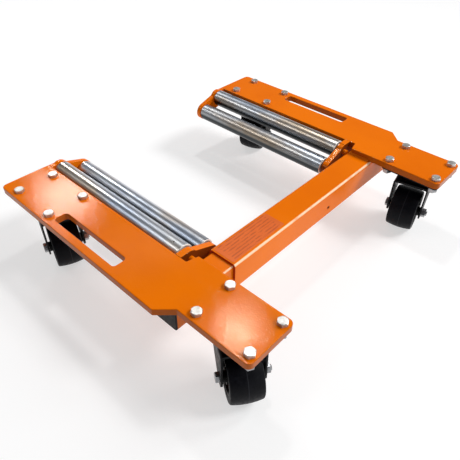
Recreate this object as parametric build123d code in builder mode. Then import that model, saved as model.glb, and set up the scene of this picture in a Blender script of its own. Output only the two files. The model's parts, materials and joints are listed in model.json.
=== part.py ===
"""Roller wheel dolly: two plate wings on a telescopic beam, four rollers, four swivel casters.

Millimetres, +Z up. X runs along the rollers, Y along the beam.
The origin is on the floor, midway along the plates and midway between the two wings.
"""

import os
from math import cos, hypot, radians, sin

from build123d import *

os.makedirs("parts", exist_ok=True)

# ---------------------------------------------------------------- plates
PLATE_T = 12.7
PLATE_TOP = 142.0
PLATE_UNDER = PLATE_TOP - PLATE_T
PLATE_X0 = -300.0
PLATE_X1 = 300.0
WIDE_OUTER_Y = 351.0
NARROW_OUTER_Y = 326.0
SETBACK_Y = 249.5
INNER_Y = 227.0
STEP_X0 = 135.5
STEP_X1 = 161.5
NOTCH_X0 = 100.0
NOTCH_X1 = 106.0
CORNER_R = 10.0
EDGE_BREAK = 0.8

SLOT_X0 = -142.0
SLOT_X1 = 26.5
SLOT_Y0 = 310.5
SLOT_Y1 = 336.0
SLOT_R = 6.0

# ---------------------------------------------------------------- beam
BEAM_X = 126.0
OUTER_S = 58.0
WALL = 4.0
OUTER_R = 6.0
INNER_R = 4.5
TUBE_PLAY = 0.4
INNER_S = OUTER_S - 2 * WALL - 2 * TUBE_PLAY
BEAM_Z = PLATE_UNDER - OUTER_S / 2
OUTER_Y0 = -193.5
OUTER_Y1 = 318.0
INNER_Y0 = -318.0
INNER_Y1 = 150.0
CAP_FLANGE = 3.0
CAP_PLUG = 14.0
SHIM_Y0 = -320.0
SHIM_Y1 = -231.0
LOCK_Y = 79.0
LOCK_Z = 93.0
LOCK_D = 8.0
LOCK_GAP = 0.3
WELD_LEG = 4.0
LABEL_L = 134.0
LABEL_W = 44.0
LABEL_T = 0.4

# ---------------------------------------------------------------- rollers
ROLLER_OD = 38.0
ROLLER_WALL = 3.0
ROLLER_X0 = -287.0
ROLLER_X1 = 72.5
OUTER_AXLE_Y = 229.0
OUTER_AXLE_Z = 125.2
INNER_AXLE_Y = 180.8
INNER_AXLE_Z = 104.3
AXLE_D = 12.0
AXLE_PLAY = 0.05
BUSH_L = 16.0
DIMPLE_D = 4.5
DIMPLE_IN = 20.0

# ---------------------------------------------------------------- roller brackets
LEFT_BRACKET_T = 10.0
RIGHT_BRACKET_T = 12.7
LEFT_BRACKET_X = -299.0
RIGHT_BRACKET_X = 75.0
LEFT_HEAD_R = 19.0
RIGHT_HEAD_R = 16.0
ARM_R = 16.5
ARM_DROP = 3.0
LEFT_NOSE_R = 19.5
RIGHT_NOSE_R = 16.0
FOOT_Y = 290.0
AXLE_STICK_LEFT = 1.0
FAR_AXLE_STICK = 9.0
NEAR_AXLE_STICK = 12.0
INNER_AXLE_STICK = 5.0

# ---------------------------------------------------------------- casters
CASTER_X_LEFT = -209.0
CASTER_Y_LEFT = 300.0
CASTER_X_RIGHT = 237.5
CASTER_Y_RIGHT = 276.0
PITCH_X = 100.0
PITCH_Y = 70.0
BOLT_D = 10.0
BOLT_HOLE = 11.0
HEX_AF = 16.0
HEAD_H = 6.4
NUT_H = 8.4
CASTER_PLATE_X = 120.0
CASTER_PLATE_Y = 90.0
CASTER_PLATE_T = 5.0
TRAIL = 25.5
WHEEL_D = 90.0
WHEEL_W = 53.0
TREAD_CROWN = 3.0
WHEEL_EDGE_R = 3.0
HUB_D = 60.0
LEG_IN = 32.0
LEG_T = 3.0
LEG_TIP_R = 15.0
CROWN_Z0 = 104.5
CROWN_T = 4.5
CROWN_BACK = -38.0
CROWN_FRONT = 37.0
LEG_BACK_Z = 86.0
RACE_TOP = PLATE_UNDER - CASTER_PLATE_T
RACE_GAP = 0.6
RACE_MID = 117.0
KINGPIN_D = 14.0

# swivel angle of each caster at rest: direction of the trail, from +X
SWIVEL = {
    "far_left": 288.0,
    "far_right": 282.0,
    "near_left": 341.0,
    "near_right": 325.5,
}


def hexagon_points(across_flats):
    """Six corner points of a hexagon with flats facing +-Y."""
    r = across_flats / (2 * cos(radians(30)))
    return [(r * cos(radians(60 * i)), r * sin(radians(60 * i))) for i in range(6)]


def caster_centres(side):
    """Swivel centres of one wing's two casters."""
    return [
        (CASTER_X_LEFT, side * CASTER_Y_LEFT),
        (CASTER_X_RIGHT, side * CASTER_Y_RIGHT),
    ]


def bolt_points(side):
    """Mounting bolt centres of one wing, four to a caster."""
    points = []
    for cx, cy in caster_centres(side):
        for dx in (-PITCH_X / 2, PITCH_X / 2):
            for dy in (-PITCH_Y / 2, PITCH_Y / 2):
                points.append((cx + dx, cy + dy))
    return points


def save(part, name):
    """Label one sub-part and write it."""
    part.label = name
    export_step(part, f"parts/{name}.step")


# ================================================================ plates
def make_wing_plate(side):
    """Flat plate with the step on its outer edge, the roller notch and the hand slot."""
    outline = [
        (PLATE_X0, SETBACK_Y, 2.0),
        (PLATE_X0, WIDE_OUTER_Y, CORNER_R),
        (STEP_X0, WIDE_OUTER_Y, 3.0),
        (STEP_X1, NARROW_OUTER_Y, 3.0),
        (PLATE_X1, NARROW_OUTER_Y, CORNER_R),
        (PLATE_X1, INNER_Y, CORNER_R),
        (NOTCH_X1, INNER_Y, 2.0),
        (NOTCH_X0, SETBACK_Y, 2.0),
    ]
    slot_centre = ((SLOT_X0 + SLOT_X1) / 2, side * (SLOT_Y0 + SLOT_Y1) / 2)
    with BuildPart() as plate:
        with BuildSketch(Plane.XY.offset(PLATE_UNDER)) as flat:
            with BuildLine():
                Polyline(*[(x, side * y) for x, y, _ in outline], close=True)
            make_face()
            for x, y, radius in outline:
                corner = flat.vertices().sort_by_distance((x, side * y, 0))[0]
                fillet(corner, radius)
            with Locations(slot_centre):
                RectangleRounded(SLOT_X1 - SLOT_X0, SLOT_Y1 - SLOT_Y0, SLOT_R, mode=Mode.SUBTRACT)
            with Locations(*bolt_points(side)):
                Circle(BOLT_HOLE / 2, mode=Mode.SUBTRACT)
        extrude(amount=PLATE_T)
        rim = plate.faces().sort_by(Axis.Z)[-1].outer_wire().edges()
        slot_rim = plate.faces().sort_by(Axis.Z)[-1].inner_wires()
        slot_rim = max(slot_rim, key=lambda wire: wire.length).edges()
        chamfer(rim + slot_rim, EDGE_BREAK)
    return plate.part


far_plate = make_wing_plate(1)
save(far_plate, "far_plate")

near_plate = make_wing_plate(-1)
save(near_plate, "near_plate")


# ================================================================ telescopic beam
def beam_plane(y):
    """Sketch plane square to the beam at y: local x is +X, local y is +Z, normal +Y."""
    return Plane(origin=(BEAM_X, y, BEAM_Z), x_dir=(-1, 0, 0), z_dir=(0, 1, 0))


with BuildPart() as outer_tube:
    with BuildSketch(beam_plane(OUTER_Y0)):
        RectangleRounded(OUTER_S, OUTER_S, OUTER_R)
        RectangleRounded(OUTER_S - 2 * WALL, OUTER_S - 2 * WALL, OUTER_R - WALL, mode=Mode.SUBTRACT)
    extrude(amount=OUTER_Y1 - OUTER_Y0)
    with Locations(Location((BEAM_X + OUTER_S / 2, LOCK_Y, LOCK_Z), (0, 90, 0))):
        Cylinder(LOCK_D / 2, 4 * WALL, mode=Mode.SUBTRACT)
save(outer_tube.part, "outer_tube")

with BuildPart() as inner_tube:
    with BuildSketch(beam_plane(INNER_Y0)):
        RectangleRounded(INNER_S, INNER_S, INNER_R)
        RectangleRounded(INNER_S - 2 * WALL, INNER_S - 2 * WALL, 1.0, mode=Mode.SUBTRACT)
    extrude(amount=INNER_Y1 - INNER_Y0)
save(inner_tube.part, "inner_tube")

# plastic plugs closing the free ends of the two tubes
with BuildPart() as outer_tube_cap:
    with BuildSketch(beam_plane(OUTER_Y1)):
        RectangleRounded(OUTER_S, OUTER_S, OUTER_R)
    extrude(amount=CAP_FLANGE)
    with BuildSketch(beam_plane(OUTER_Y1)):
        RectangleRounded(OUTER_S - 2 * WALL, OUTER_S - 2 * WALL, OUTER_R - WALL)
        RectangleRounded(OUTER_S - 5 * WALL, OUTER_S - 5 * WALL, 2.0, mode=Mode.SUBTRACT)
    extrude(amount=-CAP_PLUG)
    chamfer(outer_tube_cap.faces().sort_by(Axis.Y)[-1].edges(), 1.2)
save(outer_tube_cap.part, "outer_tube_cap")

with BuildPart() as inner_tube_cap:
    with BuildSketch(beam_plane(INNER_Y0)):
        RectangleRounded(INNER_S, INNER_S, INNER_R)
    extrude(amount=-CAP_FLANGE)
    with BuildSketch(beam_plane(INNER_Y0)):
        RectangleRounded(INNER_S - 2 * WALL, INNER_S - 2 * WALL, 1.0)
        RectangleRounded(INNER_S - 5 * WALL, INNER_S - 5 * WALL, 1.0, mode=Mode.SUBTRACT)
    extrude(amount=CAP_PLUG)
    chamfer(inner_tube_cap.faces().sort_by(Axis.Y)[0].edges(), 1.2)
save(inner_tube_cap.part, "inner_tube_cap")

# flat shim that lifts the near plate level with the far one
shim_z0 = BEAM_Z + INNER_S / 2
with BuildPart() as beam_shim:
    with BuildSketch(Plane.XY.offset(shim_z0)):
        with Locations((BEAM_X, (SHIM_Y0 + SHIM_Y1) / 2)):
            Rectangle(INNER_S - 2 * OUTER_R, SHIM_Y1 - SHIM_Y0)
    extrude(amount=PLATE_UNDER - shim_z0)
save(beam_shim.part, "beam_shim")

# socket set screw that clamps the inner tube, its cup end just off the tube at rest
with BuildPart() as lock_screw:
    with Locations(Location((BEAM_X + INNER_S / 2 + LOCK_GAP, LOCK_Y, LOCK_Z), (0, 90, 0))):
        Cylinder(LOCK_D / 2, 3.2, align=(Align.CENTER, Align.CENTER, Align.MIN))
    socket_plane = Plane(
        origin=(BEAM_X + INNER_S / 2 + LOCK_GAP + 3.2, LOCK_Y, LOCK_Z), x_dir=(0, 1, 0), z_dir=(1, 0, 0)
    )
    with BuildSketch(socket_plane):
        Polygon(*hexagon_points(4.0))
    extrude(amount=-2.2, mode=Mode.SUBTRACT)
save(lock_screw.part, "lock_screw")

# fillet weld where the far plate's inner edge crosses the top of the outer tube
with BuildPart() as beam_weld:
    with BuildSketch(Plane.YZ.offset(BEAM_X - OUTER_S / 2 + OUTER_R)):
        with BuildLine():
            Polyline(
                (INNER_Y, PLATE_UNDER),
                (INNER_Y, PLATE_UNDER + WELD_LEG),
                (INNER_Y - WELD_LEG, PLATE_UNDER),
                close=True,
            )
        make_face()
    extrude(amount=OUTER_S - 2 * OUTER_R)
save(beam_weld.part, "beam_weld")

# blank label on top of the outer tube
with BuildPart() as beam_label:
    with BuildSketch(Plane.XY.offset(PLATE_UNDER)):
        with Locations((BEAM_X, OUTER_Y0 + 3.0 + LABEL_L / 2)):
            RectangleRounded(LABEL_W, LABEL_L, 2.0)
    extrude(amount=LABEL_T)
save(beam_label.part, "beam_label")


# ================================================================ roller brackets
ARM_DY = OUTER_AXLE_Y - INNER_AXLE_Y
ARM_DZ = OUTER_AXLE_Z - INNER_AXLE_Z
ARM_LEN = hypot(ARM_DY, ARM_DZ)
ARM_UY = ARM_DY / ARM_LEN
ARM_UZ = ARM_DZ / ARM_LEN


def arm_point(along, above):
    """A point by its distance along the arm from the inner axle and above the axle line."""
    y = INNER_AXLE_Y + along * ARM_UY - above * ARM_UZ
    z = INNER_AXLE_Z + along * ARM_UZ + above * ARM_UY
    return (y, z)


def make_bracket(side, x0, thickness, head_r, nose_r):
    """Upright bracket: round head at the outer axle, sloping arm, foot under the plate.

    It is filled between the head and the plate's edge, level with the plate.
    """
    root = arm_point(ARM_LEN, -ARM_DROP)
    foot = [
        (INNER_AXLE_Y + 26.0, INNER_AXLE_Z - 6.0),
        (SETBACK_Y, 106.0),
        (FOOT_Y, 113.0),
        (FOOT_Y, PLATE_UNDER),
        (OUTER_AXLE_Y, PLATE_UNDER),
    ]
    trim_y = (SETBACK_Y + FOOT_Y) / 2
    trim_z = (PLATE_UNDER + PLATE_TOP + 10.0) / 2
    with BuildPart() as bracket:
        with BuildSketch(Plane.YZ.offset(x0)):
            with Locations((side * OUTER_AXLE_Y, OUTER_AXLE_Z)):
                Circle(head_r)
            with BuildSketch(mode=Mode.PRIVATE) as band:
                with Locations((side * INNER_AXLE_Y, INNER_AXLE_Z)):
                    Circle(nose_r)
                with Locations((side * root[0], root[1])):
                    Circle(ARM_R)
                make_hull()
            add(band.sketch)
            with BuildLine():
                Polyline(*[(side * y, z) for y, z in foot], close=True)
            make_face()
            with Locations((side * (OUTER_AXLE_Y + SETBACK_Y) / 2, (PLATE_UNDER + PLATE_TOP) / 2)):
                Rectangle(SETBACK_Y - OUTER_AXLE_Y, PLATE_T)
            with Locations((side * trim_y, trim_z)):
                Rectangle(
                    FOOT_Y - SETBACK_Y,
                    PLATE_TOP + 10.0 - PLATE_UNDER,
                    mode=Mode.SUBTRACT,
                )
            axles = [(OUTER_AXLE_Y, OUTER_AXLE_Z), (INNER_AXLE_Y, INNER_AXLE_Z)]
            with Locations(*[(side * y, z) for y, z in axles]):
                Circle(AXLE_D / 2, mode=Mode.SUBTRACT)
        extrude(amount=thickness)
    return bracket.part


for wing, side in (("far", 1), ("near", -1)):
    left = make_bracket(side, LEFT_BRACKET_X, LEFT_BRACKET_T, LEFT_HEAD_R, LEFT_NOSE_R)
    save(left, f"{wing}_left_bracket")
    right = make_bracket(side, RIGHT_BRACKET_X, RIGHT_BRACKET_T, RIGHT_HEAD_R, RIGHT_NOSE_R)
    save(right, f"{wing}_right_bracket")


# ================================================================ rollers
def along_x(y, z, x):
    """Placement whose local +Z runs along +X."""
    return Location((x, y, z), (0, 90, 0))


def make_axle(y, z, stick):
    """Plain steel rod through both brackets, standing out past the right one by stick."""
    x0 = LEFT_BRACKET_X - AXLE_STICK_LEFT
    x1 = RIGHT_BRACKET_X + RIGHT_BRACKET_T + stick
    with BuildPart() as axle:
        with Locations(along_x(y, z, x0)):
            Cylinder(AXLE_D / 2, x1 - x0, align=(Align.CENTER, Align.CENTER, Align.MIN))
        chamfer(axle.edges().filter_by(GeomType.CIRCLE), 1.0)
    return axle.part


def make_roller(y, z, dimple_angle):
    """Steel tube with a radial hole near each end, at dimple_angle from +Y towards +Z."""
    length = ROLLER_X1 - ROLLER_X0
    reach = ROLLER_OD / 2
    with BuildPart() as roller:
        with Locations(along_x(y, z, ROLLER_X0)):
            Cylinder(ROLLER_OD / 2, length, align=(Align.CENTER, Align.CENTER, Align.MIN))
            Cylinder(
                ROLLER_OD / 2 - ROLLER_WALL,
                length,
                align=(Align.CENTER, Align.CENTER, Align.MIN),
                mode=Mode.SUBTRACT,
            )
        rims = roller.edges().filter_by(GeomType.CIRCLE).sort_by(SortBy.RADIUS)[-2:]
        chamfer(rims, 1.0)
        out = (cos(radians(dimple_angle)), sin(radians(dimple_angle)))
        for x in (ROLLER_X0 + DIMPLE_IN, ROLLER_X1 - DIMPLE_IN):
            start = (x, y + (reach + 1) * out[0], z + (reach + 1) * out[1])
            with BuildSketch(Plane(origin=start, x_dir=(1, 0, 0), z_dir=(0, out[0], out[1]))):
                Circle(DIMPLE_D / 2)
            extrude(amount=-(ROLLER_WALL + 1), mode=Mode.SUBTRACT)
    return roller.part


def make_bushes(y, z):
    """Pair of plugs pressed into a roller's ends and turning on its axle."""
    with BuildPart() as bushes:
        for x in (ROLLER_X0 + 0.8, ROLLER_X1 - 0.8 - BUSH_L):
            with Locations(along_x(y, z, x)):
                Cylinder(
                    ROLLER_OD / 2 - ROLLER_WALL,
                    BUSH_L,
                    align=(Align.CENTER, Align.CENTER, Align.MIN),
                )
                Cylinder(
                    AXLE_D / 2 + AXLE_PLAY,
                    BUSH_L,
                    align=(Align.CENTER, Align.CENTER, Align.MIN),
                    mode=Mode.SUBTRACT,
                )
    return bushes.part


ROLLERS = {
    "far_outer": (1, OUTER_AXLE_Y, OUTER_AXLE_Z, FAR_AXLE_STICK, 167.0),
    "far_inner": (1, INNER_AXLE_Y, INNER_AXLE_Z, INNER_AXLE_STICK, 97.0),
    "near_outer": (-1, OUTER_AXLE_Y, OUTER_AXLE_Z, NEAR_AXLE_STICK, 103.0),
    "near_inner": (-1, INNER_AXLE_Y, INNER_AXLE_Z, INNER_AXLE_STICK, 240.0),
}

for name, (side, y, z, stick, angle) in ROLLERS.items():
    save(make_roller(side * y, z, angle), f"{name}_roller")
    save(make_bushes(side * y, z), f"{name}_bushes")
    save(make_axle(side * y, z, stick), f"{name}_axle")


# ================================================================ caster mounting bolts and nuts
UNDER_HEAD = 30.0

# one bolt standing on the origin: hexagon turned down to a cone at the corners, plain shank
with BuildPart() as bolt:
    with BuildSketch():
        Polygon(*hexagon_points(HEX_AF))
    extrude(amount=HEAD_H)
    with BuildSketch(Plane.XZ):
        with BuildLine():
            Polyline(
                (0, 0),
                (HEX_AF * 0.6, 0),
                (HEX_AF * 0.6, HEAD_H - HEX_AF * 0.07),
                (HEX_AF * 0.48, HEAD_H),
                (0, HEAD_H),
                close=True,
            )
        make_face()
    revolve(axis=Axis.Z, mode=Mode.INTERSECT)
    with BuildSketch():
        Circle(BOLT_D / 2)
    extrude(amount=-UNDER_HEAD)
    chamfer(bolt.edges().filter_by(GeomType.CIRCLE).sort_by(Axis.Z)[0], 1.0)


def make_bolts(side):
    """Eight hexagon bolts, heads on the plate, each a separate solid."""
    with BuildPart() as bolts:
        with Locations(*[(x, y, PLATE_TOP) for x, y in bolt_points(side)]):
            add(bolt.part)
    return bolts.part


def make_nuts(side):
    """Eight hexagon nuts under the caster plates, each a separate solid."""
    with BuildPart() as nuts:
        for point in bolt_points(side):
            with BuildSketch(Plane.XY.offset(RACE_TOP)):
                with Locations(point):
                    Polygon(*hexagon_points(HEX_AF))
                    Circle(BOLT_D / 2 + 0.1, mode=Mode.SUBTRACT)
            extrude(amount=-NUT_H)
    return nuts.part


for wing, side in (("far", 1), ("near", -1)):
    save(make_bolts(side), f"{wing}_caster_bolts")
    save(make_nuts(side), f"{wing}_caster_nuts")


# ================================================================ casters
# each piece is built at the origin with its trail along +X, then turned and moved into place
with BuildPart() as caster_plate:
    with BuildSketch(Plane.XY.offset(RACE_TOP)):
        RectangleRounded(CASTER_PLATE_X, CASTER_PLATE_Y, 6.0)
        with GridLocations(PITCH_X, PITCH_Y, 2, 2):
            Circle(BOLT_HOLE / 2, mode=Mode.SUBTRACT)
    extrude(amount=CASTER_PLATE_T)
    with BuildSketch(Plane.XZ):
        with BuildLine():
            Polyline(
                (0, RACE_TOP),
                (27.0, RACE_TOP),
                (24.0, RACE_MID + RACE_GAP),
                (0, RACE_MID + RACE_GAP),
                close=True,
            )
        make_face()
    revolve(axis=Axis.Z)
    with Locations((0, 0, PLATE_UNDER)):
        Cylinder(KINGPIN_D / 2, 40.0, mode=Mode.SUBTRACT)
        Cone(
            KINGPIN_D / 2,
            11.0,
            3.0,
            align=(Align.CENTER, Align.CENTER, Align.MAX),
            mode=Mode.SUBTRACT,
        )

with BuildPart() as kingpin:
    with BuildSketch(Plane.XZ):
        with BuildLine():
            Polyline(
                (0, PLATE_UNDER),
                (10.9, PLATE_UNDER),
                (KINGPIN_D / 2, PLATE_UNDER - 2.9),
                (KINGPIN_D / 2, CROWN_Z0 - 0.3),
                (12.0, CROWN_Z0 - 0.3),
                (12.0, CROWN_Z0 - 3.0),
                (9.0, CROWN_Z0 - 5.0),
                (0, CROWN_Z0 - 5.0),
                close=True,
            )
        make_face()
    revolve(axis=Axis.Z)

FORK_HALF = LEG_IN + LEG_T
with BuildPart() as fork:
    # crown and legs: the side outline cut through the full width, less the space for the wheel
    with BuildSketch(Plane.XZ.offset(-FORK_HALF)):
        with BuildSketch(mode=Mode.PRIVATE) as side_view:
            with Locations((TRAIL, WHEEL_D / 2)):
                Circle(LEG_TIP_R)
            with Locations((CROWN_BACK, LEG_BACK_Z)):
                Rectangle(
                    CROWN_FRONT - CROWN_BACK,
                    CROWN_Z0 + CROWN_T - LEG_BACK_Z,
                    align=(Align.MIN, Align.MIN),
                )
            make_hull()
        add(side_view.sketch)
    extrude(amount=2 * FORK_HALF)
    top_edges = fork.edges().filter_by(Axis.X).group_by(Axis.Z)[-1]
    fillet(top_edges, LEG_T + 2.0)
    with BuildSketch(Plane.YZ.offset(-60.0)):
        with Locations((0, CROWN_Z0)):
            RectangleRounded(2 * LEG_IN, 160.0, 2.0, align=(Align.CENTER, Align.MAX))
    extrude(amount=140.0, mode=Mode.SUBTRACT)
    # lower race ring on the crown
    with BuildSketch(Plane.XZ):
        with BuildLine():
            Polyline(
                (0, CROWN_Z0 + CROWN_T),
                (29.0, CROWN_Z0 + CROWN_T),
                (29.0, RACE_MID - 4.0),
                (26.0, RACE_MID),
                (0, RACE_MID),
                close=True,
            )
        make_face()
    revolve(axis=Axis.Z)
    with Locations((0, 0, RACE_MID)):
        Cylinder(KINGPIN_D / 2 + AXLE_PLAY, 60.0, mode=Mode.SUBTRACT)
    with Locations(Location((TRAIL, 0, WHEEL_D / 2), (90, 0, 0))):
        Cylinder(BOLT_D / 2 + 0.1, 4 * FORK_HALF, mode=Mode.SUBTRACT)

WHEEL_AT = Location((TRAIL, 0, WHEEL_D / 2), (90, 0, 0))

with BuildPart() as tyre:
    # section through the wheel axis: local x along the axis, local y outwards
    section = Plane(origin=(TRAIL, 0, WHEEL_D / 2), x_dir=(0, 1, 0), z_dir=(1, 0, 0))
    half = WHEEL_W / 2
    edge_r = WHEEL_D / 2 - TREAD_CROWN
    with BuildSketch(section) as tread:
        with BuildLine():
            ThreePointArc((-half, edge_r), (0, WHEEL_D / 2), (half, edge_r))
            Line((half, edge_r), (half, HUB_D / 2))
            Line((half, HUB_D / 2), (-half, HUB_D / 2))
            Line((-half, HUB_D / 2), (-half, edge_r))
        make_face()
        fillet(tread.vertices().group_by(Axis.Z)[-1], WHEEL_EDGE_R)
    revolve(axis=Axis((TRAIL, 0, WHEEL_D / 2), (0, 1, 0)))

with BuildPart() as hub:
    with Locations(WHEEL_AT):
        Cylinder(HUB_D / 2, WHEEL_W - 2.0)
        Cylinder(9.5, 2 * LEG_IN - 1.0)
    for face_side in (-1, 1):
        with BuildSketch(Plane.XZ.offset(face_side * (WHEEL_W / 2 - 1.0))):
            with Locations((TRAIL, WHEEL_D / 2)):
                Circle(HUB_D / 2 - 4.0)
                Circle(13.0, mode=Mode.SUBTRACT)
        extrude(amount=-face_side * 9.0, mode=Mode.SUBTRACT)
    with Locations(WHEEL_AT):
        Cylinder(BOLT_D / 2 + AXLE_PLAY, 4 * LEG_IN, mode=Mode.SUBTRACT)

with BuildPart() as axle_bolt:
    with BuildSketch(Plane.XZ.offset(FORK_HALF)):
        with Locations((TRAIL, WHEEL_D / 2)):
            Polygon(*hexagon_points(HEX_AF))
    extrude(amount=HEAD_H)
    chamfer(axle_bolt.faces().sort_by(Axis.Y)[0].edges(), 0.9)
    with BuildSketch(Plane.XZ.offset(FORK_HALF)):
        with Locations((TRAIL, WHEEL_D / 2)):
            Circle(BOLT_D / 2)
    extrude(amount=-(2 * FORK_HALF + NUT_H + 2.5))

with BuildPart() as axle_nut:
    with BuildSketch(Plane.XZ.offset(-FORK_HALF)):
        with Locations((TRAIL, WHEEL_D / 2)):
            Polygon(*hexagon_points(HEX_AF))
            Circle(BOLT_D / 2 + 0.1, mode=Mode.SUBTRACT)
    extrude(amount=-NUT_H)

CORNERS = {
    "far_left": (CASTER_X_LEFT, CASTER_Y_LEFT),
    "far_right": (CASTER_X_RIGHT, CASTER_Y_RIGHT),
    "near_left": (CASTER_X_LEFT, -CASTER_Y_LEFT),
    "near_right": (CASTER_X_RIGHT, -CASTER_Y_RIGHT),
}

for corner, (cx, cy) in CORNERS.items():
    fixed = Location((cx, cy, 0))
    turned = Location((cx, cy, 0), (0, 0, SWIVEL[corner]))
    save(caster_plate.part.moved(fixed), f"{corner}_caster_plate")
    save(kingpin.part.moved(fixed), f"{corner}_kingpin")
    save(fork.part.moved(turned), f"{corner}_fork")
    save(tyre.part.moved(turned), f"{corner}_tyre")
    save(hub.part.moved(turned), f"{corner}_hub")
    save(axle_bolt.part.moved(turned), f"{corner}_axle_bolt")
    save(axle_nut.part.moved(turned), f"{corner}_axle_nut")
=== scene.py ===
"""Looks of the roller wheel dolly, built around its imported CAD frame.

Metres, +Z up, X along the plates and rollers, Y along the beam. Every visible piece is a CAD node
that gets a procedural material here. Colours are linear RGB, and noise scales are per metre.
"""

import json
import math

import bpy
from mathutils import Matrix, Vector


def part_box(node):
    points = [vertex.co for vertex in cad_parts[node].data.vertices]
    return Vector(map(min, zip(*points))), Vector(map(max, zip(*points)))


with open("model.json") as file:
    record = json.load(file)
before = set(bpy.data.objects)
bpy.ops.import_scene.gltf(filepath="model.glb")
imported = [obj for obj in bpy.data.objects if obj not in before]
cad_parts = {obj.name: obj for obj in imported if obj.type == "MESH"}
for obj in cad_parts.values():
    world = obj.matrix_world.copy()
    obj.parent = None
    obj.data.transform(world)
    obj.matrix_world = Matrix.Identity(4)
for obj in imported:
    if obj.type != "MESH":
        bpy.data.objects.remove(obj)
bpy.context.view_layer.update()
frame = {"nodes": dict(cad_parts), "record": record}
nodes = frame["nodes"]

CORNERS = ("far_left", "far_right", "near_left", "near_right")
WINGS = ("far", "near")
ROLLERS = ("far_outer", "far_inner", "near_outer", "near_inner")
JOINTS = {joint["name"]: joint for joint in frame["record"]["behaviour"]["joints"]}

# ------------------------------------------------------------------ colours
ORANGE_LIGHT = (0.88, 0.185, 0.0010)
ORANGE_DARK = (0.81, 0.158, 0.0006)
ORANGE_SHINE = (1.0, 0.86, 0.62, 1.0)
SCREW_LIGHT = (0.34, 0.075, 0.004)
SCREW_DARK = (0.22, 0.045, 0.004)
# Painted shade for upright faces: its darkest tone, and the blue part of its lighter tone.
UPRIGHT_SHADE_DEEP = (0.17, 0.035, 0.002)
UPRIGHT_SHADE_BLUE = 0.004
# Painted highlight along the beam's top +X corner.
CORNER_HIGHLIGHT = (1.0, 0.80, 0.55)
# Painted shade in dark red on the beam's faces towards -Y.
RED_FRONT_SHADE = (0.45, 0.012, 0.004)

BOLT_BRIGHT = (0.74, 0.72, 0.69)
BOLT_DULL = (0.40, 0.38, 0.35)
DARK_ZINC_BRIGHT = (0.45, 0.46, 0.47)
DARK_ZINC_DULL = (0.25, 0.25, 0.26)

ROLLER_BLUE = (0.42, 0.48, 0.58)
ROLLER_PALE = (0.78, 0.80, 0.82)
ROLLER_STAIN = (0.54, 0.42, 0.29)
# Painted shade on the rollers' faces turned down.
ROLLER_UNDERSIDE_SHADE = (0.045, 0.050, 0.054)
# Painted pale highlight on the rollers' end faces.
ROLLER_END_HIGHLIGHT = (0.86, 0.82, 0.77)

ENAMEL_BLACK = (0.004, 0.004, 0.005)
ENAMEL_DUST = (0.020, 0.020, 0.021)
TREAD_BLACK = (0.0016, 0.0018, 0.0036)
TREAD_SCUFF = (0.0065, 0.0070, 0.0105)
TREAD_SEAM = (0.018, 0.019, 0.023)
PLASTIC_BLACK = (0.006, 0.006, 0.006)
PLASTIC_WORN = (0.013, 0.013, 0.013)
NYLON_DULL = (0.60, 0.59, 0.56)
NYLON_PALE = (0.70, 0.69, 0.66)

LABEL_DARK = (0.72, 0.135, 0.022)
LABEL_LIGHT = (0.80, 0.16, 0.03)
LABEL_INK = (0.30, 0.04, 0.02)
LABEL_SHINE = (1.0, 0.8, 0.6, 1.0)

FLOOR_DARK = (0.47, 0.47, 0.47)
FLOOR_LIGHT = (0.49, 0.49, 0.49)
WHITE = (1.0, 1.0, 1.0, 1.0)

# ------------------------------------------------------------------ sizes in the materials
COAT_RELIEF = 0.0003
GRAIN_RELIEF = 0.0002
POWDER_CORNER = 0.0012
ENAMEL_CORNER = 0.0006
ZINC_CORNER = 0.0004
WELD_RING_PITCH = 0.0032
SEAM_CORE = 0.0003
SEAM_FADE = 0.0009

# How many bars lie side by side on the label, and the parts of its length, from its middle, at
# which they start to fade and are gone.
LABEL_BARS = 7
LABEL_PRINTED = 0.43
LABEL_BLANK = 0.45
LABEL_INK_STRENGTH = 0.42

# ------------------------------------------------------------------ studio
FLOOR_SIZE = 30.0
FLOOR_GLOW = 0.56
MIDDLE = (0.0, 0.0, 0.1)
NEAR_END_OF_BEAM = (0.15, -0.15, 0.1)

SUN_DIRECTION = (0.50, 0.52, 0.70)
SUN_STRENGTH = 1.50
SUN_DEGREES = 16.0

# Name, place, what it faces, width, height, watts.
SOFTBOXES = (
    ("window_left", (-2.58, 0.82, 1.97), MIDDLE, 0.38, 0.22, 10.5),
    ("window_back", (-0.64, 0.75, 1.94), MIDDLE, 0.17, 0.19, 8.5),
    ("side", (0.95, -0.22, 0.32), NEAR_END_OF_BEAM, 0.5, 0.35, 0.8),
    ("strip_back", (-1.60, 0.80, 1.9), MIDDLE, 0.80, 0.25, 1.0),
    ("strip_front", (-1.90, -2.00, 2.5), MIDDLE, 2.20, 0.42, 12.5),
    ("edge_line", (0.93, 1.75, 1.72), MIDDLE, 0.50, 1.00, 18.0),
)

WALL_LEVEL = (0.95, 0.95, 0.95, 1.0)
ZENITH_LEVEL = (0.24, 0.25, 0.27, 1.0)
# Z part of the direction, and the grey level there.
SKY_STOPS = ((0.10, 0.90), (0.22, 0.24), (0.42, 0.12), (0.74, 0.12), (0.90, 0.28))
SKY_BLUE_CAST = 1.03
# Y part of the direction, and the light's strength there.
FRONT_PART = -0.9
FRONT_STRENGTH = 0.45
BACK_PART = 0.5
BACK_STRENGTH = 1.1

CAMERA_AZIMUTH = math.radians(42.302)
CAMERA_ELEVATION = math.radians(40.841)
CAMERA_ROLL = math.radians(0.831)
CAMERA_TARGET = (0.09882, -0.14582, 0.142)
CAMERA_DISTANCE = 0.82722
CAMERA_CLIP_START = 0.05
LENS_MM = 37.995
SENSOR_MM = 36.0


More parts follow.
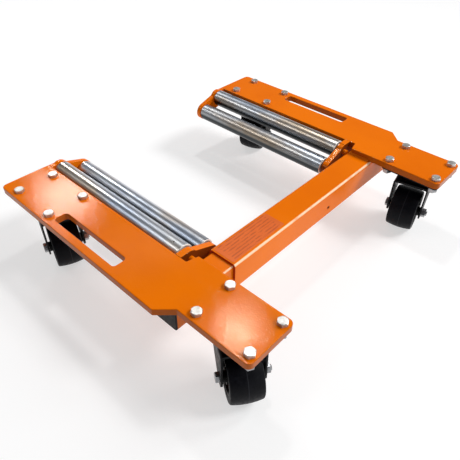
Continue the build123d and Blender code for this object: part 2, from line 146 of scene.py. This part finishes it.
# ------------------------------------------------------------------ shader helpers
class Shader:
    """A Principled material with short calls for the procedural nodes it is built from."""

    def __init__(self, name, **constants):
        self.material = bpy.data.materials.new(name)
        self.material.use_nodes = True
        self.tree = self.material.node_tree
        self.out = self.tree.nodes["Principled BSDF"]
        self.fill(self.out, constants)
        self.coords = self.add("ShaderNodeTexCoord").outputs["Object"]

    def fill(self, node, constants):
        """Sets inputs by name, with an underscore for each space."""
        for socket, value in constants.items():
            node.inputs[socket.replace("_", " ")].default_value = value

    def add(self, kind, **constants):
        node = self.tree.nodes.new(kind)
        self.fill(node, constants)
        return node

    def link(self, source, socket):
        self.tree.links.new(source, socket)

    def set(self, socket, source):
        """Drives one of the material's own inputs."""
        self.link(source, self.out.inputs[socket])

    def noise(self, scale, detail=3.0, roughness=0.5):
        """Cloudy noise, its scale one number or one for each axis."""
        vector = self.coords
        if isinstance(scale, tuple):
            mapping = self.add("ShaderNodeMapping", Scale=scale)
            self.link(vector, mapping.inputs["Vector"])
            vector = mapping.outputs["Vector"]
            scale = 1.0
        node = self.add("ShaderNodeTexNoise", Scale=scale, Detail=detail, Roughness=roughness)
        self.link(vector, node.inputs["Vector"])
        return node.outputs["Fac"]

    def cells(self, scale):
        """Distance from the middles of scattered cells."""
        node = self.add("ShaderNodeTexVoronoi", Scale=scale)
        self.link(self.coords, node.inputs["Vector"])
        return node.outputs["Distance"]

    def spread(self, value, low, high, to_low=0.0, to_high=1.0):
        """Maps low..high onto to_low..to_high, clamped."""
        node = self.add("ShaderNodeMapRange", From_Min=low, From_Max=high, To_Min=to_low,
                        To_Max=to_high)
        self.link(value, node.inputs["Value"])
        return node.outputs["Result"]

    def mix(self, factor, first, second):
        """Blends two colours, each an RGB triple or another node's output."""
        node = self.tree.nodes.new("ShaderNodeMix")
        node.data_type = "RGBA"
        self.link(factor, node.inputs["Factor"])
        for name, colour in (("A", first), ("B", second)):
            socket = next(s for s in node.inputs if s.name == name and s.type == "RGBA")
            if isinstance(colour, tuple):
                socket.default_value = (*colour, 1.0)
            else:
                self.link(colour, socket)
        return next(s for s in node.outputs if s.type == "RGBA")

    def maths(self, operation, *values):
        """A Math node on numbers or other nodes' outputs."""
        node = self.tree.nodes.new("ShaderNodeMath")
        node.operation = operation
        for socket, value in zip(node.inputs, values):
            if isinstance(value, (int, float)):
                socket.default_value = value
            else:
                self.link(value, socket)
        return node.outputs["Value"]

    def absolute(self, value):
        return self.maths("ABSOLUTE", value)

    def wave(self, along, pitch):
        """A sine wave along a coordinate."""
        return self.maths("SINE", self.maths("MULTIPLY", along, 2.0 * math.pi / pitch))

    def axis(self, name):
        """One coordinate of the place on the object."""
        node = self.add("ShaderNodeSeparateXYZ")
        self.link(self.coords, node.inputs["Vector"])
        return node.outputs[name]

    def facing(self, name):
        """One component of the surface normal, in the scene's axes."""
        geometry = self.add("ShaderNodeNewGeometry")
        node = self.add("ShaderNodeSeparateXYZ")
        self.link(geometry.outputs["Normal"], node.inputs["Vector"])
        return node.outputs[name]

    def rounded(self, radius):
        """Normal with edges softened by a radius."""
        node = self.add("ShaderNodeBevel", Radius=radius)
        node.samples = 4
        return node.outputs["Normal"]

    def bump(self, height, strength, distance, under=None):
        """Relief on the surface's normal, or on one that is already softened."""
        node = self.add("ShaderNodeBump", Strength=strength, Distance=distance)
        self.link(height, node.inputs["Height"])
        if under is not None:
            self.link(under, node.inputs["Normal"])
        self.set("Normal", node.outputs["Normal"])


# ------------------------------------------------------------------ materials
def orange_paint(name, light=ORANGE_LIGHT, dark=ORANGE_DARK, rough=0.08, upright_shade_factor=1.0, wear_and_highlight=0.0,
                 ripple=0.0, front_shade=0.0):
    """Powder coat with orange peel and faint rub marks.

    The upright-face factor paints shade on upright faces, darker by that factor and streaked by
    noise. The corner amount paints a pale highlight along the corner between the top and the +X
    side. ripple is the depth of a weld's rings. The front amount paints dark red shade on faces
    towards -Y."""
    paint = Shader(name, IOR=1.5, Specular_IOR_Level=0.13, Specular_Tint=ORANGE_SHINE)
    cloud = paint.spread(paint.noise(6.0, detail=4.0), 0.35, 0.65)
    colour = paint.mix(cloud, dark, light)
    # Painted shade: upright faces are darkened, streaked by noise.
    if upright_shade_factor < 1.0:
        shade_streaks = paint.noise((30.0, 30.0, 240.0), detail=4.0, roughness=0.6)
        tone = paint.spread(shade_streaks, 0.3, 0.7, 0.75, 1.0)
        shaded_upright = paint.mix(tone, UPRIGHT_SHADE_DEEP, (upright_shade_factor * light[0], upright_shade_factor * light[1], UPRIGHT_SHADE_BLUE))
        level = paint.spread(paint.absolute(paint.facing("Z")), 0.4, 0.9)
        colour = paint.mix(level, shaded_upright, colour)
    # Painted highlight: a pale, patchy line along the corner between the top and the +X side.
    if wear_and_highlight > 0.0:
        corner = paint.maths("MULTIPLY", paint.facing("X"), paint.facing("Z"))
        patches = paint.noise((20.0, 25.0, 20.0), roughness=0.6)
        patchy = paint.spread(patches, 0.3, 0.5, 0.45, 1.0)
        highlighted = paint.maths("MULTIPLY", paint.spread(corner, 0.30, 0.46, 0.0, wear_and_highlight), patchy)
        colour = paint.mix(highlighted, colour, CORNER_HIGHLIGHT)
    # Painted shade: faces towards -Y turn dark red.
    if front_shade > 0.0:
        forward = paint.spread(paint.facing("Y"), -0.9, -0.6, front_shade, 0.0)
        colour = paint.mix(forward, colour, RED_FRONT_SHADE)
    paint.set("Base Color", colour)
    rub = paint.noise((14.0, 60.0, 60.0), detail=5.0, roughness=0.6)
    paint.set("Roughness", paint.spread(rub, 0.35, 0.7, rough - 0.02, rough + 0.05))
    peel = paint.maths("ADD", paint.noise(420.0, detail=2.0), paint.noise(190.0, detail=2.0))
    if ripple > 0.0:
        rings = paint.wave(paint.axis("X"), WELD_RING_PITCH)
        peel = paint.maths("ADD", peel, paint.maths("MULTIPLY", rings, ripple))
    paint.bump(peel, 0.42, COAT_RELIEF, under=paint.rounded(POWDER_CORNER))
    return paint.material


def zinc(name, bright, dull, rough, metallic=1.0):
    """Zinc plate with patchy gloss and fine grain."""
    metal = Shader(name, Metallic=metallic)
    patch = metal.spread(metal.noise(90.0, detail=4.0, roughness=0.6), 0.35, 0.65)
    metal.set("Base Color", metal.mix(patch, dull, bright))
    grain = metal.noise((300.0, 300.0, 300.0), detail=4.0, roughness=0.65)
    metal.set("Roughness", metal.spread(grain, 0.3, 0.7, rough - 0.06, rough + 0.12))
    metal.bump(grain, 0.12, GRAIN_RELIEF, under=metal.rounded(ZINC_CORNER))
    return metal.material


def roller_steel():
    """Bright plated tube: cloudy, with brown handling stains.

    Faces turned down get painted shade, and the end faces a painted pale highlight.
    """
    metal = Shader("roller_steel")
    clouds = metal.spread(metal.noise((9.0, 40.0, 40.0), roughness=0.6), 0.35, 0.65)
    plain = metal.mix(clouds, ROLLER_BLUE, ROLLER_PALE)
    stain = metal.spread(metal.noise((7.0, 20.0, 20.0)), 0.48, 0.66, 0.0, 0.85)
    plated = metal.mix(stain, plain, ROLLER_STAIN)
    # Painted shade: faces turned down are darkened.
    upper = metal.spread(metal.facing("Z"), 0.0, 0.55)
    sides = metal.mix(upper, ROLLER_UNDERSIDE_SHADE, plated)
    # Painted highlight: the end faces are pale and less metallic.
    end_highlight = metal.spread(metal.absolute(metal.facing("X")), 0.35, 0.65)
    metal.set("Base Color", metal.mix(end_highlight, sides, ROLLER_END_HIGHLIGHT))
    metal.set("Metallic", metal.spread(end_highlight, 0.0, 1.0, 1.0, 0.15))
    drawn = metal.noise((3.0, 60.0, 60.0), detail=2.0)
    metal.set("Roughness", metal.spread(drawn, 0.3, 0.7, 0.27, 0.33))
    return metal.material


def black_enamel():
    """Satin black enamel with patches of dust."""
    paint = Shader("caster_black", IOR=1.5, Specular_IOR_Level=0.09)
    dust = paint.spread(paint.noise(45.0, detail=5.0, roughness=0.65), 0.5, 0.75)
    paint.set("Base Color", paint.mix(dust, ENAMEL_BLACK, ENAMEL_DUST))
    paint.set("Roughness", paint.spread(paint.noise(160.0), 0.3, 0.7, 0.32, 0.52))
    paint.bump(paint.noise(500.0), 0.25, COAT_RELIEF, under=paint.rounded(ENAMEL_CORNER))
    return paint.material


def wheel_rubber(name, centre, axle):
    """Moulded hard rubber tread: satin, scuffed, with the mould's parting line round its middle."""
    rubber = Shader(name, IOR=1.45, Specular_IOR_Level=0.13)
    scuff = rubber.spread(rubber.noise(60.0, detail=6.0, roughness=0.7), 0.52, 0.74)
    black = rubber.mix(scuff, TREAD_BLACK, TREAD_SCUFF)
    along_x = rubber.maths("MULTIPLY", rubber.axis("X"), axle[0])
    along_y = rubber.maths("MULTIPLY", rubber.axis("Y"), axle[1])
    along = rubber.maths("ADD", along_x, along_y)
    offset = rubber.maths("SUBTRACT", along, centre[0] * axle[0] + centre[1] * axle[1])
    seam = rubber.spread(rubber.absolute(offset), SEAM_CORE, SEAM_FADE, 1.0, 0.0)
    rubber.set("Base Color", rubber.mix(seam, black, TREAD_SEAM))
    rubber.set("Roughness", rubber.spread(rubber.noise(200.0, detail=4.0), 0.3, 0.7, 0.38, 0.58))
    fine = rubber.maths("ADD", rubber.noise(900.0), rubber.noise(240.0, detail=2.0))
    rubber.bump(rubber.maths("ADD", fine, seam), 0.3, COAT_RELIEF)
    return rubber.material


def moulded_plastic(name, tint=PLASTIC_BLACK, wear_and_highlight=PLASTIC_WORN):
    """Fine-grained moulding."""
    plastic = Shader(name, IOR=1.46, Specular_IOR_Level=0.25)
    cloud = plastic.spread(plastic.noise(30.0, detail=4.0), 0.4, 0.7)
    plastic.set("Base Color", plastic.mix(cloud, tint, wear_and_highlight))
    plastic.set("Roughness", plastic.spread(plastic.noise(120.0), 0.3, 0.7, 0.45, 0.60))
    plastic.bump(plastic.cells(1400.0), 0.2, GRAIN_RELIEF)
    return plastic.material


def label_film():
    """Printed film: orange ground with generic broken bars running along the beam."""
    low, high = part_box("beam_label")
    width = high[0] - low[0]
    length = high[1] - low[1]
    film = Shader("label_film", IOR=1.5, Specular_IOR_Level=0.2, Specular_Tint=LABEL_SHINE)
    ground = film.mix(film.spread(film.noise(20.0), 0.3, 0.7), LABEL_DARK, LABEL_LIGHT)
    across = film.maths("SUBTRACT", film.axis("X"), low[0])
    bars = film.spread(film.wave(across, width / LABEL_BARS), 0.05, 0.45)
    gaps = film.spread(film.noise((330.0, 62.0, 1.0), roughness=0.6), 0.44, 0.50)
    from_middle = film.absolute(film.maths("SUBTRACT", film.axis("Y"), 0.5 * (low[1] + high[1])))
    inside = film.spread(from_middle, LABEL_PRINTED * length, LABEL_BLANK * length, 1.0, 0.0)
    broken_bars = film.maths("MULTIPLY", film.maths("MULTIPLY", bars, gaps), inside)
    ink = film.maths("MULTIPLY", broken_bars, LABEL_INK_STRENGTH)
    film.set("Base Color", film.mix(ink, ground, LABEL_INK))
    film.set("Roughness", film.spread(film.noise(80.0), 0.3, 0.7, 0.3, 0.4))
    film.bump(film.noise(60.0, detail=2.0), 0.1, COAT_RELIEF)
    return film.material


# ------------------------------------------------------------------ which piece gets which
def assign(material, *names):
    """Gives each of these CAD nodes one material all over."""
    for name in names:
        obj = nodes[name]
        if not obj.material_slots:
            obj.data.materials.append(material)
        for slot in obj.material_slots:
            slot.material = material


def dress_nodes():
    # Painted shade: the upright faces of the plates and right brackets are darkened, the right
    # brackets' most.
    plate = orange_paint("plate_paint", upright_shade_factor=0.5)
    bracket = orange_paint("bracket_paint")
    shaded_bracket = orange_paint("shaded_bracket_paint", upright_shade_factor=0.22)
    bolt_zinc = zinc("bolt_zinc", BOLT_BRIGHT, BOLT_DULL, rough=0.34, metallic=0.7)
    dark_zinc = zinc("axle_zinc", DARK_ZINC_BRIGHT, DARK_ZINC_DULL, rough=0.28)
    for wing in WINGS:
        assign(plate, f"{wing}_plate")
        assign(bracket, f"{wing}_left_bracket")
        assign(shaded_bracket, f"{wing}_right_bracket")
        assign(bolt_zinc, f"{wing}_caster_bolts")
        assign(dark_zinc, f"{wing}_caster_nuts")

    # The beam gets a painted highlight along its top +X corner and painted dark red shade on its
    # faces towards -Y.
    beam = orange_paint("beam_paint", rough=0.20, wear_and_highlight=0.85, front_shade=0.8)
    assign(beam, "outer_tube", "inner_tube", "beam_shim")
    # The weld's upright faces get painted shade as well.
    assign(orange_paint("weld_paint", rough=0.25, upright_shade_factor=0.7, ripple=4.0), "beam_weld")
    assign(moulded_plastic("plug_plastic"), "outer_tube_cap", "inner_tube_cap")
    assign(orange_paint("screw_paint", SCREW_LIGHT, SCREW_DARK, rough=0.3), "lock_screw")
    assign(label_film(), "beam_label")

    roller_tube = roller_steel()
    bush = moulded_plastic("bush_nylon", NYLON_DULL, NYLON_PALE)
    for roller in ROLLERS:
        assign(roller_tube, f"{roller}_roller")
        assign(bush, f"{roller}_bushes")
        assign(bracket, f"{roller}_axle")

    enamel = black_enamel()
    hub = moulded_plastic("hub_plastic")
    for corner in CORNERS:
        assign(enamel, f"{corner}_caster_plate", f"{corner}_fork")
        assign(dark_zinc, f"{corner}_kingpin", f"{corner}_axle_bolt", f"{corner}_axle_nut")
        roll = JOINTS[f"{corner}_roll"]
        assign(wheel_rubber(f"rubber_{corner}", roll["pos_m"], roll["axis"]), f"{corner}_tyre")
        assign(hub, f"{corner}_hub")


# ------------------------------------------------------------------ floor, lights and camera
def add_floor():
    bpy.ops.mesh.primitive_plane_add(size=FLOOR_SIZE, location=(0.0, 0.0, 0.0))
    floor = bpy.context.object
    floor.name = "studio_floor"
    pale = Shader("floor_white", Roughness=0.9, Specular_IOR_Level=0.1, Emission_Color=WHITE,
                  Emission_Strength=FLOOR_GLOW)
    pale.set("Base Color", pale.mix(pale.noise(2.0, detail=2.0), FLOOR_DARK, FLOOR_LIGHT))
    floor.data.materials.append(pale.material)


def add_world():
    """Grey studio: a bright wall low down and a dim ceiling, darker towards the front (-Y)."""
    world = bpy.data.worlds.new("studio")
    bpy.context.scene.world = world
    world.use_nodes = True
    tree = world.node_tree
    background = tree.nodes["Background"]
    coords = tree.nodes.new("ShaderNodeTexCoord")
    split = tree.nodes.new("ShaderNodeSeparateXYZ")
    ramp = tree.nodes.new("ShaderNodeValToRGB")
    tree.links.new(coords.outputs["Generated"], split.inputs["Vector"])
    tree.links.new(split.outputs["Z"], ramp.inputs["Fac"])
    tree.links.new(ramp.outputs["Color"], background.inputs["Color"])
    stops = ramp.color_ramp.elements
    stops[0].color = WALL_LEVEL
    stops[1].color = ZENITH_LEVEL
    for place, level in SKY_STOPS:
        stop = stops.new(place)
        stop.color = (level, level, level * SKY_BLUE_CAST, 1.0)
    side = tree.nodes.new("ShaderNodeMapRange")
    side.inputs["From Min"].default_value = FRONT_PART
    side.inputs["From Max"].default_value = BACK_PART
    side.inputs["To Min"].default_value = FRONT_STRENGTH
    side.inputs["To Max"].default_value = BACK_STRENGTH
    tree.links.new(split.outputs["Y"], side.inputs["Value"])
    tree.links.new(side.outputs["Result"], background.inputs["Strength"])


def add_camera():
    """Looks at the target from azimuth (0 is from -Y), elevation and distance, then rolls."""
    back = Vector((
        math.sin(CAMERA_AZIMUTH) * math.cos(CAMERA_ELEVATION),
        -math.cos(CAMERA_AZIMUTH) * math.cos(CAMERA_ELEVATION),
        math.sin(CAMERA_ELEVATION),
    ))
    level = Vector((0.0, 0.0, 1.0)).cross(back).normalized()
    upright = back.cross(level)
    right = level * math.cos(CAMERA_ROLL) + upright * math.sin(CAMERA_ROLL)
    up = upright * math.cos(CAMERA_ROLL) - level * math.sin(CAMERA_ROLL)
    camera = bpy.data.objects.new("camera", bpy.data.cameras.new("camera"))
    bpy.context.collection.objects.link(camera)
    place = Matrix((right, up, back)).transposed().to_4x4()
    place.translation = Vector(CAMERA_TARGET) + back * CAMERA_DISTANCE
    camera.matrix_world = place
    camera.data.sensor_width = SENSOR_MM
    camera.data.lens = LENS_MM
    camera.data.clip_start = CAMERA_CLIP_START
    bpy.context.scene.camera = camera


def add_lamp(name, kind, turn, **settings):
    """A light with these settings, turned by a quaternion; it shines along its own -Z."""
    data = bpy.data.lights.new(name, kind)
    for setting, value in settings.items():
        setattr(data, setting, value)
    lamp = bpy.data.objects.new(name, data)
    bpy.context.collection.objects.link(lamp)
    lamp.rotation_euler = turn.to_euler()
    return lamp


def add_lights():
    sun_turn = Vector(SUN_DIRECTION).to_track_quat("Z", "Y")
    add_lamp("key", "SUN", sun_turn, energy=SUN_STRENGTH, angle=math.radians(SUN_DEGREES))
    for name, place, target, width, height, watts in SOFTBOXES:
        turn = (Vector(target) - Vector(place)).to_track_quat("-Z", "Y")
        softbox = add_lamp(name, "AREA", turn, shape="RECTANGLE", size=width, size_y=height,
                           energy=watts)
        softbox.location = place


dress_nodes()
add_floor()
add_world()
add_camera()
add_lights()
bpy.context.scene.view_settings.view_transform = "Standard"
